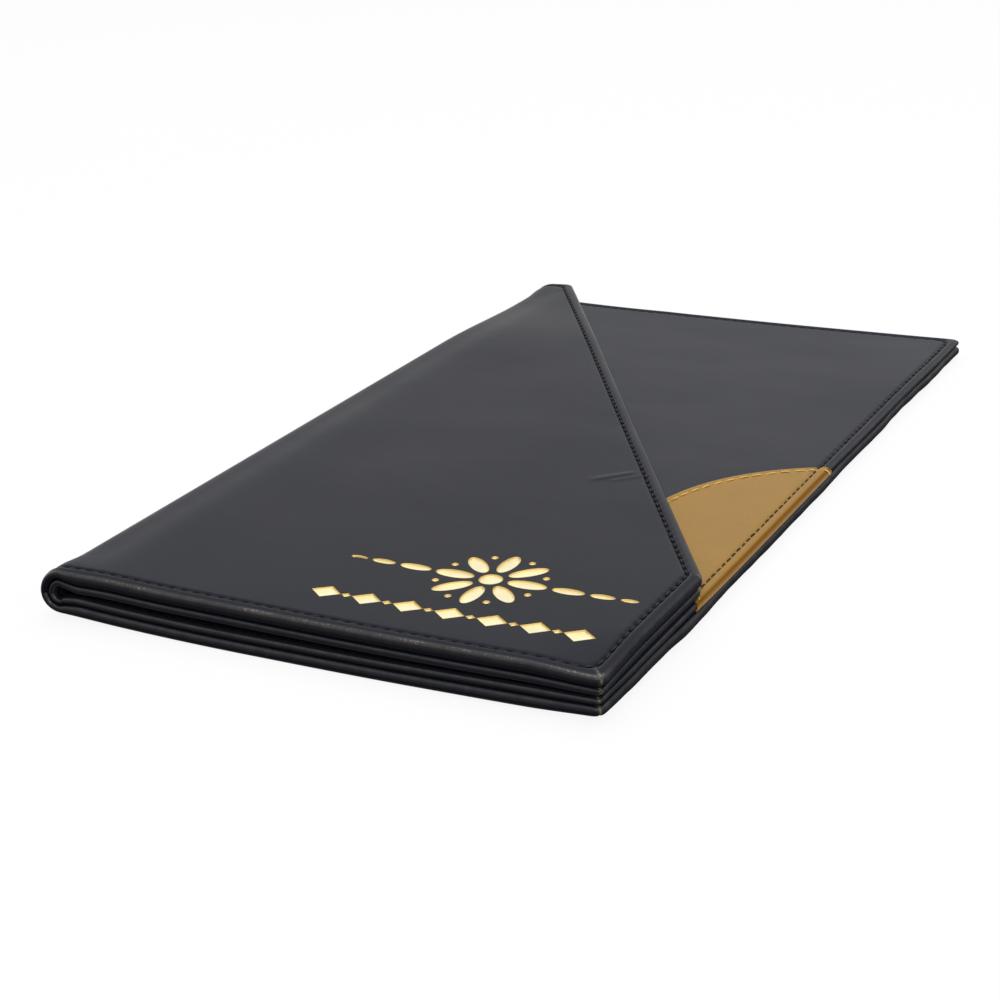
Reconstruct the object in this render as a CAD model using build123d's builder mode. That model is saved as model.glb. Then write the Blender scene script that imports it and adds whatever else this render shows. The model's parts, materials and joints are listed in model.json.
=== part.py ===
from build123d import *
from math import asin, atan, cos, degrees, radians, sin
import os

# Guest check presenter: one wrapped cover and one wrapped lining, sewn round the rim and folded.
# The front half is a slanted flap, the back half carries a half-round accent at its opening edge.
# Frame: +X from the spine to the opening edge, +Y from the near end to the far end, +Z up.
# The origin lies under the middle of the closed presenter, on the face that it rests on.
# Each half is drawn on planes whose local x runs from the fold line (0) to the opening edge,
# and whose local y runs from the near end to the far end. All sizes are millimetres.

# Overall
width = 133.0                # spine face to opening edge
length = 248.0               # near end to far end
flap_side = 50.5             # straight stretch of the flap's opening edge, from the near end
flap_tip = 5.6               # flat tip of the flap at the far end, from the fold line
flap_setback = 0.15          # flap stops short of the back half by this much

# Sheets and boards
cover_sheet = 0.8            # outer leatherette
lining_sheet = 0.65          # inner leatherette
cover_board = 1.2            # greyboard in each cover
panel_card = 0.5             # card in each inner panel
padding_sheet = 0.4          # foam between the front board and its leatherette
cover_hem = 12.0             # leatherette turned in round the cover boards
panel_hem = 10.0             # leatherette turned in round the panel cards
panel_inset = 0.5            # panels stop short of the covers on the free edges
board_fit = 0.1              # room round a board inside its skin
board_fold_gap = 3.0         # boards and cards start this far from the fold line
cover_rounding = 1.2         # rolled edge of a wrapped cover
panel_rounding = 0.75        # rolled edge of a wrapped panel
corner_rounding = 1.6        # corners in plan

# Fold
fold_lift = 1.3              # extra height between the halves at the fold
fold_clearance = 0.3         # gap between the bend and each half
lining_bulge = 0.9           # the lining's bend is wider than the gap that it leaves
bend_rounding = 0.4          # softened ends of the bend

# Accent: a segment of a disc that wraps the back panel's opening edge
accent_sheet = 0.4
accent_radius = 45.5
accent_overhang = 14.5       # centre of the disc beyond the opening edge
accent_center = 91.0         # centre of the disc from the near end
accent_seam_inset = 2.0
accent_seam_depth = 0.2

# Seams
thread = 0.5                 # width of the thread
thread_proud = 0.05          # thread stands this much over its sheet
seam_depth = 0.3             # depth of the groove that the thread lies in
seam_inset = 3.0             # seam line from the cover's edge

# Pocket on the back panel, inside
pocket_sheet = 0.35
pocket_slip = 0.1            # room for the paper slip under the pocket
pocket_height = 74.0
pocket_fold_margin = 8.0     # from the fold line
pocket_accent_gap = 2.25     # from the accent's curved edge
pocket_end_margin = 10.0     # from the near end
pocket_border = 4.0          # border that is glued and sewn down
pocket_seam_inset = 2.0
pocket_seam_depth = 0.2

# Stamped ornament on the flap
stamp_depth = 0.5
foil = 0.1
stamp_x = 87.0               # middle of the ornament from the fold line
stamp_y = 32.5               # middle of the rosette from the near end
petal_count = 8
petal_length = 9.0
petal_width = 3.8
petal_orbit = 8.4            # middle of a petal from the middle of the rosette
disc_radius = 2.6
dot_radius = 0.8
dot_orbit = 11.6
leaf_lengths = (7.4, 5.6, 4.0)  # leaves at each side of the rosette
leaf_gap = 1.2
leaf_slimness = 0.38         # width of a leaf over its length
row_drop = 18.4              # row of lozenges below the middle of the rosette
row_pitch = 9.6
row_count = 7
lozenge_width = 7.0
lozenge_height = 5.6
small_lozenge = 0.34         # size of the lozenges between them over the large ones

closing_clearance = 0.15     # room over the thickest piece inside, at the opening edge

# What the sizes above add up to
cover_leaf = 2 * cover_sheet + cover_board
panel_leaf = 2 * lining_sheet + panel_card
flap_leaf = cover_leaf + padding_sheet
back_height = cover_leaf + panel_leaf
front_height = flap_leaf + panel_leaf
edge_gap = max(accent_sheet, pocket_slip + pocket_sheet) + thread_proud + closing_clearance
fold_gap = edge_gap + fold_lift
fold_height = back_height + fold_gap + front_height
fold_radius = fold_height / 2
reach = width - fold_radius
flap_reach = reach - flap_setback
flap_tilt = degrees(atan(fold_lift / reach))
lining_radius = fold_gap / 2 + lining_bulge
fold_x = fold_radius - width / 2
near_y = -length / 2
touch = 1e-3                 # tolerance for picking edges
beyond = 2 * (width + length)

cover_round = min(cover_rounding, 0.45 * cover_leaf)
flap_round = min(cover_rounding, 0.45 * flap_leaf)
panel_round = min(panel_rounding, 0.45 * panel_leaf)

# Planes: back_base is the underside, panel_base the underside of the back panel,
# flap_face the outer face of the flap, which falls towards the opening edge.
back_base = Plane(origin=(fold_x, 0, 0), x_dir=(1, 0, 0), z_dir=(0, 0, 1))
panel_base = back_base.offset(cover_leaf)
panel_face = back_base.offset(back_height)
tilt_sin = sin(radians(flap_tilt))
tilt_cos = cos(radians(flap_tilt))
flap_face = Plane(
    origin=(fold_x + fold_radius * tilt_sin, 0, fold_radius * (1 + tilt_cos)),
    x_dir=(tilt_cos, 0, -tilt_sin),
    z_dir=(tilt_sin, 0, tilt_cos),
)
flap_base = flap_face.offset(-flap_leaf)
flap_panel_base = flap_face.offset(-front_height)


def block(left, right, low, high):
    """A rectangle between four sides."""
    with BuildSketch() as shape:
        with Locations(((left + right) / 2, (low + high) / 2)):
            Rectangle(right - left, high - low)
    return shape.sketch


def plan(inset, slanted=False, corner=0.0, start=0.0):
    """Plan of a half, inset on its free edges, from start past the fold line."""
    right = (flap_reach if slanted else reach) - inset
    with BuildSketch() as shape:
        add(block(start, right, near_y + inset, length / 2 - inset))
        if slanted:
            foot = Vector(flap_reach, near_y + flap_side)
            slope = (Vector(flap_tip, length / 2) - foot).normalized()
            inward = Vector(-slope.Y, slope.X)
            foot = foot + inward * inset
            with BuildLine():
                Polyline(foot - slope * beyond, foot + slope * beyond, foot - inward * beyond, close=True)
            make_face(mode=Mode.SUBTRACT)
        if corner > 0:
            fillet(vertices().filter_by(lambda v: v.X > start + touch), corner)
    return shape.sketch


def slab(base, low, high, sketch):
    """A sketch raised from one height over a plane to another."""
    with BuildPart() as solid:
        with BuildSketch(base.offset(low)):
            add(sketch)
        extrude(amount=high - low)
    return solid.part


def leaf_form(base, height, inset, slanted, rounding):
    """Outer form of a wrapped board: rolled on its free edges, square at the fold line."""
    def on_rim(edge):
        middle = base.to_local_coords(edge @ 0.5)
        level = min(abs(middle.Z), abs(middle.Z - height))
        return level < touch and middle.X > touch

    with BuildPart() as form:
        add(slab(base, 0, height, plan(inset, slanted, corner_rounding)))
        fillet(form.edges().filter_by(on_rim), rounding)
    return form.part


def leaf_room(base, height, sheet, hem, inset, slanted, window_on_top):
    """Room for the board, with the window that the turned hem leaves on the inner side."""
    window = (height - sheet, height) if window_on_top else (0, sheet)
    with BuildPart() as room:
        add(slab(base, sheet, height - sheet, plan(inset + sheet, slanted)))
        add(slab(base, *window, plan(inset + hem, slanted)))
    return room.part


def board(base, height, sheet, inset, slanted=False):
    """Stiff board or card inside a wrapped leaf."""
    outline = plan(inset + sheet + board_fit, slanted, corner_rounding, board_fold_gap)
    return slab(base, 0, height, outline)


def seam(base, low, high, inset, slanted=False):
    """Thread, or the groove for it, along the free edges between two heights."""
    with BuildSketch() as strip:
        add(plan(inset - thread / 2, slanted))
        add(plan(inset + thread / 2, slanted), mode=Mode.SUBTRACT)
    return slab(base, low, high, strip.sketch)


def bend(outer, inner, start, depth):
    """The bend between two radii, from start past the near end and depth long."""
    far_side = near_y + start + depth
    plane = Plane(origin=(fold_x, far_side, fold_radius), x_dir=(1, 0, 0), z_dir=(0, -1, 0))
    with BuildPart() as solid:
        with BuildSketch(plane):
            with BuildLine():
                arcs = []
                for radius in (outer, inner):
                    spare = degrees(asin(fold_clearance / radius))
                    first = 90 - flap_tilt + spare
                    arcs.append(CenterArc((0, 0), radius, first, 270 - spare - first))
                Line(arcs[0] @ 0, arcs[1] @ 0)
                Line(arcs[0] @ 1, arcs[1] @ 1)
            make_face()
        extrude(amount=depth)
    return solid.part


def bend_ends(outer, inner, inset, depth):
    """The bend's stretches at both ends, inset from the end and depth long."""
    with BuildPart() as solid:
        for start in (inset, length - inset - depth):
            add(bend(outer, inner, start, depth))
    return solid.part


# Back cover
with BuildPart() as back_cover_skin:
    add(leaf_form(back_base, cover_leaf, 0, False, cover_round))
    add(leaf_room(back_base, cover_leaf, cover_sheet, cover_hem, 0, False, True), mode=Mode.SUBTRACT)
    add(seam(back_base, 0, seam_depth, seam_inset), mode=Mode.SUBTRACT)

with BuildPart() as back_cover_board:
    add(board(back_base.offset(cover_sheet), cover_board, cover_sheet, 0))

with BuildPart() as back_outer_thread:
    add(seam(back_base, thread_proud, seam_depth, seam_inset))

# Back panel
panel_form = leaf_form(panel_base, panel_leaf, panel_inset, False, panel_round)
panel_room = leaf_room(panel_base, panel_leaf, lining_sheet, panel_hem, panel_inset, False, False)

# Accent: a disc cut by the panel's edge, which it wraps; both seams run in its face
accent_x = reach + accent_overhang
accent_y = near_y + accent_center
accent_floor = accent_sheet - accent_seam_depth


def accent_disc(inset=0.0):
    """The accent's disc, inset from its curved edge."""
    with BuildSketch() as disc:
        with Locations((accent_x, accent_y)):
            Circle(accent_radius - inset)
    return disc.sketch


with BuildPart() as panel_seam:
    add(seam(panel_face, -seam_depth, thread_proud, seam_inset))
    add(slab(panel_face, -seam_depth, thread_proud, accent_disc()), mode=Mode.SUBTRACT)

with BuildPart() as back_panel_skin:
    add(panel_form)
    add(panel_room, mode=Mode.SUBTRACT)
    add(panel_seam.part, mode=Mode.SUBTRACT)

with BuildPart() as back_panel_card:
    add(board(panel_base.offset(lining_sheet), panel_card, lining_sheet, panel_inset))


with BuildSketch() as accent_seam_line:
    add(accent_disc(accent_seam_inset - thread / 2))
    add(accent_disc(accent_seam_inset + thread / 2), mode=Mode.SUBTRACT)
    add(plan(panel_inset + panel_round), mode=Mode.INTERSECT)

with BuildPart() as accent_patch:
    add(slab(panel_base, 0, panel_leaf + accent_sheet, plan(panel_inset - accent_sheet)))
    wrapped_edges = edges().filter_by(Axis.Y).group_by(Axis.X)[-1].sort_by(Axis.Z)
    fillet(wrapped_edges[-1], panel_round + accent_sheet)
    fillet(wrapped_edges[0], panel_round)
    add(slab(panel_base, 0, panel_leaf + accent_sheet, accent_disc()), mode=Mode.INTERSECT)
    add(panel_form, mode=Mode.SUBTRACT)
    add(seam(panel_face, accent_floor, accent_sheet, seam_inset), mode=Mode.SUBTRACT)
    add(slab(panel_face, accent_floor, accent_sheet, accent_seam_line.sketch), mode=Mode.SUBTRACT)

with BuildPart() as climbing_thread:
    add(seam(panel_face, thread_proud, accent_sheet + thread_proud, seam_inset))
    add(slab(panel_face, 0, accent_sheet + thread_proud, accent_disc(-thread)), mode=Mode.INTERSECT)
    add(slab(panel_face, 0, accent_floor, accent_disc()), mode=Mode.SUBTRACT)

with BuildPart() as back_inner_thread:
    add(panel_seam.part)
    add(climbing_thread.part)

with BuildPart() as accent_thread:
    add(slab(panel_face, accent_floor, accent_sheet + thread_proud, accent_seam_line.sketch))
    add(back_inner_thread.part, mode=Mode.SUBTRACT)

# Bill pocket: glued and sewn on three sides, its mouth towards the far end
pocket_left = pocket_fold_margin
pocket_right = accent_x - accent_radius - pocket_accent_gap
pocket_low = near_y + pocket_end_margin
pocket_high = pocket_low + pocket_height
pocket_top = pocket_slip + pocket_sheet


def pocket_area(inset):
    """The pocket's outline, inset on its three sewn sides."""
    return block(pocket_left + inset, pocket_right - inset, pocket_low + inset, pocket_high)


with BuildSketch() as pocket_seam_line:
    add(pocket_area(pocket_seam_inset - thread / 2))
    add(pocket_area(pocket_seam_inset + thread / 2), mode=Mode.SUBTRACT)

with BuildPart() as bill_pocket:
    add(slab(panel_face, 0, pocket_top, pocket_area(0)))
    add(slab(panel_face, 0, pocket_slip, pocket_area(pocket_border)), mode=Mode.SUBTRACT)
    pocket_groove = slab(panel_face, pocket_top - pocket_seam_depth, pocket_top, pocket_seam_line.sketch)
    add(pocket_groove, mode=Mode.SUBTRACT)

with BuildPart() as pocket_thread:
    add(slab(panel_face, pocket_top - pocket_seam_depth, pocket_top + thread_proud, pocket_seam_line.sketch))

# Spine: cover and lining bent round, each turned in at both ends
lining_outer = lining_radius + lining_sheet
with BuildPart() as spine_skin:
    add(bend(fold_radius, fold_radius - cover_sheet, 0, length))
    hem_outer = fold_radius - cover_sheet
    add(bend_ends(hem_outer, hem_outer - cover_sheet, 0, cover_hem))
    end_rims = edges().filter_by(GeomType.CIRCLE)
    end_rims = end_rims.filter_by(lambda e: abs(e.radius - fold_radius) < touch)
    end_rims = end_rims.filter_by(lambda e: abs(abs(e.center().Y) - length / 2) < touch)
    fillet(end_rims, min(bend_rounding, cover_sheet / 2))
    add(bend_ends(fold_radius, fold_radius - seam_depth, seam_inset - thread / 2, thread), mode=Mode.SUBTRACT)

with BuildPart() as spine_lining:
    add(bend(lining_outer, lining_radius, panel_inset, length - 2 * panel_inset))
    add(bend_ends(lining_outer + lining_sheet, lining_outer, panel_inset, panel_hem))
    lining_groove = bend_ends(lining_radius + seam_depth, lining_radius, seam_inset - thread / 2, thread)
    add(lining_groove, mode=Mode.SUBTRACT)

with BuildPart() as spine_outer_thread:
    spine_thread_top = fold_radius - thread_proud
    add(bend_ends(spine_thread_top, fold_radius - seam_depth, seam_inset - thread / 2, thread))

with BuildPart() as spine_inner_thread:
    lining_thread_face = lining_radius - thread_proud
    add(bend_ends(lining_radius + seam_depth, lining_thread_face, seam_inset - thread / 2, thread))

# Stamped ornament: a rosette between slim leaves, over a row of lozenges
with BuildSketch() as ornament:
    with Locations((stamp_x, near_y + stamp_y)):
        Circle(disc_radius)
        with PolarLocations(petal_orbit, petal_count):
            Ellipse(petal_length / 2, petal_width / 2)
        with PolarLocations(dot_orbit, petal_count, start_angle=180 / petal_count):
            Circle(dot_radius)
    reached = petal_orbit + petal_length / 2
    for size in leaf_lengths:
        middle = reached + leaf_gap + size / 2
        with Locations((stamp_x - middle, near_y + stamp_y), (stamp_x + middle, near_y + stamp_y)):
            Ellipse(size / 2, size * leaf_slimness / 2)
        reached = middle + size / 2
    row_y = near_y + stamp_y - row_drop
    for index in range(2 * row_count - 1):
        share = small_lozenge if index % 2 else 1
        with Locations((stamp_x + (index - row_count + 1) * row_pitch / 2, row_y)):
            half_width = share * lozenge_width / 2
            half_height = share * lozenge_height / 2
            Polygon((-half_width, 0), (0, -half_height), (half_width, 0), (0, half_height), align=None)

with BuildPart() as foil_ornament:
    add(slab(flap_face, -stamp_depth, foil - stamp_depth, ornament.sketch))

# Front cover: the slanted flap, padded under its outer face
with BuildPart() as front_cover_skin:
    add(leaf_form(flap_base, flap_leaf, 0, True, flap_round))
    add(leaf_room(flap_base, flap_leaf, cover_sheet, cover_hem, 0, True, False), mode=Mode.SUBTRACT)
    add(seam(flap_face, -seam_depth, 0, seam_inset, True), mode=Mode.SUBTRACT)
    add(slab(flap_face, -stamp_depth, 0, ornament.sketch), mode=Mode.SUBTRACT)

with BuildPart() as front_cover_board:
    add(board(flap_base.offset(cover_sheet), cover_board, cover_sheet, 0, True))

with BuildPart() as front_cover_padding:
    add(board(flap_face.offset(-cover_sheet - padding_sheet), padding_sheet, cover_sheet, 0, True))

with BuildPart() as front_outer_thread:
    add(seam(flap_face, -seam_depth, thread_proud, seam_inset, True))

# Front panel: lines the flap
with BuildPart() as front_panel_skin:
    add(leaf_form(flap_panel_base, panel_leaf, panel_inset, True, panel_round))
    front_room = leaf_room(flap_panel_base, panel_leaf, lining_sheet, panel_hem, panel_inset, True, True)
    add(front_room, mode=Mode.SUBTRACT)
    add(seam(flap_panel_base, 0, seam_depth, seam_inset, True), mode=Mode.SUBTRACT)

with BuildPart() as front_panel_card:
    add(board(flap_panel_base.offset(lining_sheet), panel_card, lining_sheet, panel_inset, True))

with BuildPart() as front_inner_thread:
    add(seam(flap_panel_base, -thread_proud, seam_depth, seam_inset, True))

pieces = {
    "back_cover_skin": back_cover_skin,
    "back_cover_board": back_cover_board,
    "back_panel_skin": back_panel_skin,
    "back_panel_card": back_panel_card,
    "accent_patch": accent_patch,
    "accent_thread": accent_thread,
    "back_outer_thread": back_outer_thread,
    "back_inner_thread": back_inner_thread,
    "bill_pocket": bill_pocket,
    "pocket_thread": pocket_thread,
    "spine_skin": spine_skin,
    "spine_lining": spine_lining,
    "spine_outer_thread": spine_outer_thread,
    "spine_inner_thread": spine_inner_thread,
    "front_cover_skin": front_cover_skin,
    "front_cover_padding": front_cover_padding,
    "front_cover_board": front_cover_board,
    "front_outer_thread": front_outer_thread,
    "foil_ornament": foil_ornament,
    "front_panel_skin": front_panel_skin,
    "front_panel_card": front_panel_card,
    "front_inner_thread": front_inner_thread,
}
os.makedirs("parts", exist_ok=True)
for name, piece in pieces.items():
    piece.part.label = name
    export_step(piece.part, f"parts/{name}.step")
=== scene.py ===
"""Guest check presenter: black leatherette wrapped over boards, sewn round its rim and folded.

Each half is modelled flat in its own frame, as leather is before it is folded: u runs from the
fold line to the opening edge, v from the middle towards the far end, and w inwards from the
half's outer face. Half.fold then carries the points through the slack of the leather and round
the bend into the frame that every piece shares. Sizes are metres.
"""

import json
import random
from collections import namedtuple
from math import ceil, cos, exp, pi, radians, sin, sqrt

import bmesh
import bpy
from bpy.props import FloatProperty, FloatVectorProperty, PointerProperty
from mathutils import Matrix, Vector, kdtree, noise


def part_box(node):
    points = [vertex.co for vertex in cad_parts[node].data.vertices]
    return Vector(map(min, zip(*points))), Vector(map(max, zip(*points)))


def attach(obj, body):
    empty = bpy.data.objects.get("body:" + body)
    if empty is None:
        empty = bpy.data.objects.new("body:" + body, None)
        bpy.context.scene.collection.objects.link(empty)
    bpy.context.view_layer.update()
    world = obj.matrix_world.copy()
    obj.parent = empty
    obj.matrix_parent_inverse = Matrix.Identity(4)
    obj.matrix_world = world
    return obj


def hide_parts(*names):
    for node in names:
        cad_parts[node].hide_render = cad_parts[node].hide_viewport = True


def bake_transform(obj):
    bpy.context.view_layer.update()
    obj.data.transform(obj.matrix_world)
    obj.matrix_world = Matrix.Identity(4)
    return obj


bl_info = {
    "name": "Guest check presenter",
    "version": (1, 0, 0),
    "blender": (4, 5, 0),
    "location": "View3D > Sidebar > Presenter",
    "description": "Builds a folded, sewn check presenter with a slanted flap",
    "category": "Object",
}

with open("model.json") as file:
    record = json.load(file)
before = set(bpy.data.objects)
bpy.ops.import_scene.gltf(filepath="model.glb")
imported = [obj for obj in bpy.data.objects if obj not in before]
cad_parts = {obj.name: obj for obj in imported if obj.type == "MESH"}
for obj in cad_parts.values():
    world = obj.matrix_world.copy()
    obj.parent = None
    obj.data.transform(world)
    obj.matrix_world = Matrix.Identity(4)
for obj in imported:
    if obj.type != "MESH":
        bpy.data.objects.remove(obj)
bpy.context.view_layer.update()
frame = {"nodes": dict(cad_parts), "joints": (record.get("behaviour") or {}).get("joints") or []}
MM = 0.001
ACROSS = Vector((1, 0, 0))
ALONG = Vector((0, 1, 0))

# The fold and the free edges, as the frame has them
COVER_LOW, COVER_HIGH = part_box("back_cover_skin")
FOLD_X = COVER_LOW.x
FOLD_RADIUS = FOLD_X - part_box("spine_skin")[0].x
NEAR = COVER_LOW.y
FAR = COVER_HIGH.y
REACH = COVER_HIGH.x - FOLD_X
PANEL_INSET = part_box("back_panel_skin")[0].y - NEAR
FLAP_TILT = radians(sum(joint["range_deg"][1] for joint in frame["joints"])) - pi
HALF_TURN = (pi + FLAP_TILT) / 2
HALF_BEND = HALF_TURN * FOLD_RADIUS

# Leather drawn past the middle of the bend, to be cut off there
SPARE = 8 * MM
TAIL = HALF_BEND + SPARE

# The stretch next to the fold that has close rows of mesh and no ripples
FOLD_ZONE = 14 * MM

# Lines of the mesh on both sides of the rim seam, in millimetres from it
SEAM_LINES = (-1.45, -1.1, -0.8, -0.55, -0.35, -0.17, 0, 0.17, 0.35, 0.6, 0.95, 1.4, 2.0)

# Rings of the mesh inside the edges of the pocket and the accent, in millimetres
POCKET_RINGS = (0, 0.07, 0.16, 0.32, 1.2, 1.65, 1.85, 2, 2.15, 2.35, 2.8, 3.6)
ACCENT_RINGS = (0, 0.07, 0.16, 0.35, 0.8, 1.3, 1.65, 1.85, 2, 2.15, 2.35, 2.7, 3.3, 4, 7, 12, 18, 26, 33)

# Lines of the accent's mesh where the rim seam pulls it in, in millimetres from the opening edge
ACCENT_LINES = (4.6, 4, 3.55, 3.25, 3, 2.75, 2.45, 2, 1.6)

# Half the angle that the accent's curve takes up at its middle
ACCENT_SPREAD = radians(76)

# How far single stitches stray: turned, aside, longer or shorter, up or down
STRAY_TURN = 0.11
STRAY_ASIDE = 0.08 * MM
STRAY_LENGTH = (0.88, 1.04)
STRAY_HEIGHT = 0.03 * MM

# Where a rolled rim is rubbed and carries a painted highlight line, where its coat gleams and how far
# painted shade reaches, in rolls from its edge
RUBBED_HIGHLIGHT_AT = 0.4
GLEAM_AT = 0.26
GLEAM_WIDTH = 0.2
SHADE_REACH = 0.35

# Worn specks and a painted highlight line along the rubbed rim: the width of the line, the length of its
# patches, and the stretch of the near end
RUBBED_HIGHLIGHT_WIDTH = 0.32 * MM
PATCH_LENGTH = 9 * MM
END_ZONE = 6 * MM

# The dimple round a needle hole, and how far from the seam holes are looked for
DIMPLE_WIDTH = 0.55 * MM
DIMPLE_ZONE = 1.4 * MM

# The crown of the turned edge: its place as a share of the seam's inset, and its width
CROWN_AT = 0.62
CROWN_WIDTH = 0.55 * MM

# Wrapped corners: how far in they are rounded, where they are creased, and where they show worn specks
# and a painted highlight line
CORNER_ZONE = 8 * MM
CREASE_WIDTH = 0.3 * MM
CREASE_REACH = 2.2 * MM
WORN_HIGHLIGHT_WIDTH = 0.5 * MM
WORN_HIGHLIGHT_REACH = 2.5 * MM

# The line that a seam pulls in on the accent and the pocket
GROOVE_DEPTH = 0.2 * MM
GROOVE_WIDTH = 0.38 * MM

# The accent's needle holes and its crease, and the band of painted shade along the crease, which is wider
# than the press
ACCENT_DIMPLE = 0.1 * MM
ACCENT_PRESS = 0.14 * MM
PRESS_WIDTH = 0.4 * MM
ROLL_SHADE_WIDTH = 0.62 * MM

# The lip and the wall of a stamped recess in plan, and the thickness of the foil and of thin sheets
LIP = 0.05 * MM
WALL = 0.14 * MM
FOIL = 0.02 * MM
SHEET = 0.3 * MM

# A cutting plane takes corners nearer than this as its own
SNAP = 0.02 * MM

# Marks on the faces of a flat leaf
FIELD, HIDDEN, STAMP = 1, 2, 3

Corner = namedtuple("Corner", "point before after sine rounding")
Crease = namedtuple("Crease", "start end depth width")
Bulge = namedtuple("Bulge", "place out width")
Seam = namedtuple("Seam", "starts ends")

# Ripples of the field, and waves of the back cover's edge: their sizes and their places in the noise
Ripple = namedtuple("Ripple", "across along height seed")
RIPPLES = (Ripple(90 * MM, 28 * MM, 1.0, 0), Ripple(30 * MM, 45 * MM, 0.6, 5))
Wave = namedtuple("Wave", "along height place")
EDGE_WAVES = (Wave(21 * MM, 1.0, (0.5, 2.7)), Wave(8 * MM, 0.4, (4, 1)))


def length(name, description, millimetres):
    """A size that a user may change."""
    return FloatProperty(
        name=name, description=description, default=millimetres * MM, unit="LENGTH", precision=5
    )


def ratio(name, description, value, low=0.0, high=0.4):
    """A share that a user may change."""
    return FloatProperty(name=name, description=description, default=value, min=low, max=high)


def paint(name, description, colour):
    """A linear colour that a user may change."""
    return FloatVectorProperty(
        name=name, description=description, default=colour, subtype="COLOR", size=3, min=0, max=1
    )


class PresenterSizes(bpy.types.PropertyGroup):
    """Sizes of the leatherette's forms, the seams and the trim."""

    flap_side: length("Flap side", "Straight stretch of the flap's opening edge", 50.5)
    flap_tip: length("Flap tip", "Flat tip of the flap at the far end", 5.6)
    flap_setback: length("Flap setback", "How far the flap stops short of the back", 0.15)
    cover_roll: length("Cover roll", "Radius of a cover's rolled edge", 1.3)
    panel_roll: length("Panel roll", "Radius of a panel's rolled edge", 0.85)
    # Also sets how far painted shade reaches into those overhanging rolls
    crevice: ratio("Crevice", "Depth over height of the rolls that overhang another leaf", 1.8, 1, 2.2)
    cover_corner: length("Cover corner", "Corner radius of a cover's rim", 2.2)
    panel_corner: length("Panel corner", "Corner radius of a panel's rim", 1.4)
    seam_corner: length("Seam corner", "Corner radius of the seams", 3.6)
    mitre_crease: length("Mitre crease", "Depth of the crease at each wrapped corner", 0.26)
    seam_inset: length("Seam inset", "Seam line from the cover's edge", 3.0)
    seam_sink: length("Seam sink", "How deep the seam pulls the leatherette in", 0.42)
    seam_width: length("Seam width", "Half the width of the pulled-in line", 0.44)
    band_crown: length("Band crown", "Rise of the turned edge outside the seam", 0.16)
    stitch_pitch: length("Stitch pitch", "From one stitch to the next", 3.03)
    stitch_length: length("Stitch length", "Visible length of a stitch", 2.25)
    thread: length("Thread", "Thickness of the thread", 0.45)
    hole_sink: length("Needle hole", "Extra depth at each needle hole", 0.3)
    column: length("Column", "Spacing of the mesh along a rim", 0.5)
    cell: length("Cell", "Spacing of the mesh in the open field", 6.0)
    cover_band: length("Cover at the fold", "Thickness of the cover in the bend", 1.9)
    lining_gap: length("Lining gap", "Gap between cover and lining in the bend", 0.2)
    lining_band: length("Lining at the fold", "Thickness of the lining in the bend", 1.5)
    fold_lift: length("Fold lift", "How far the fold lifts the back half", 1.3)
    fold_lift_reach: length("Lift reach", "How far the lift reaches from the fold", 48.0)
    corner_lift: length("Corner lift", "How far the near corner curls up", 1.13)
    corner_tip: length("Corner tip", "Extra curl of the near corner's tip", 0.4)
    corner_tuck: length("Corner tuck", "How far the near corner's tip is drawn in", 0.5)
    far_lift: length("Far lift", "How far the far corner curls up", 0.6)
    edge_lift: length("Edge lift", "How far the opening edge bows up in the middle", 0.9)
    edge_wave: length("Edge wave", "Waviness of the back cover's opening edge", 0.5)
    panel_creep: length("Panel creep", "How far the panels creep out at their free edges", 0.22)
    edge_creep: length("Edge creep", "Extra creep of the opening edge past the accent", 0.2)
    far_creep: length("Far creep", "How far the back half reaches out at the far end", 0.68)
    fold_press: ratio("Fold press", "Share of its height that the fold loses at the far end", 0.154)
    corner_press: ratio("Corner press", "Share of its height that the near corner's tip loses", 0.13)
    flap_hump: length("Flap hump", "Rise of the flap just past the fold", 0.3)
    flap_hump_place: length("Hump place", "Middle of the flap's rise", 11.0)
    spine_sink: length("Spine sink", "How far the spine sinks between its hems", 0.5)
    near_hem: length("Near hem", "Turned leatherette at the spine's near end", 9.0)
    far_hem: length("Far hem", "Turned leatherette at the spine's far end", 8.0)
    ripple: length("Ripple", "Height of the gentle waves in the field", 0.09)
    accent_radius: length("Accent radius", "Radius of the accent's disc", 45.5)
    accent_overhang: length("Accent overhang", "Disc's middle past the edge", 14.5)
    accent_middle: length("Accent middle", "Disc's middle from the near end", 91.0)
    accent_sheet: length("Accent sheet", "Thickness of the accent", 0.36)
    accent_crease: length("Accent crease", "Crease round the panel's edge from its face", 1.0)
    accent_seam: length("Accent seam", "Accent's seam from its curved edge", 2.0)
    accent_stitch: length("Accent stitch pitch", "From one accent stitch to the next", 3.5)
    pocket_edge: length("Pocket edge", "Radius of the pocket's edge", 0.3)
    pocket_seam: length("Pocket seam", "Pocket's seam from its edge", 2.0)
    stamp_margin: length("Stamp margin", "Flat field left round the ornament", 1.2)


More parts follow.
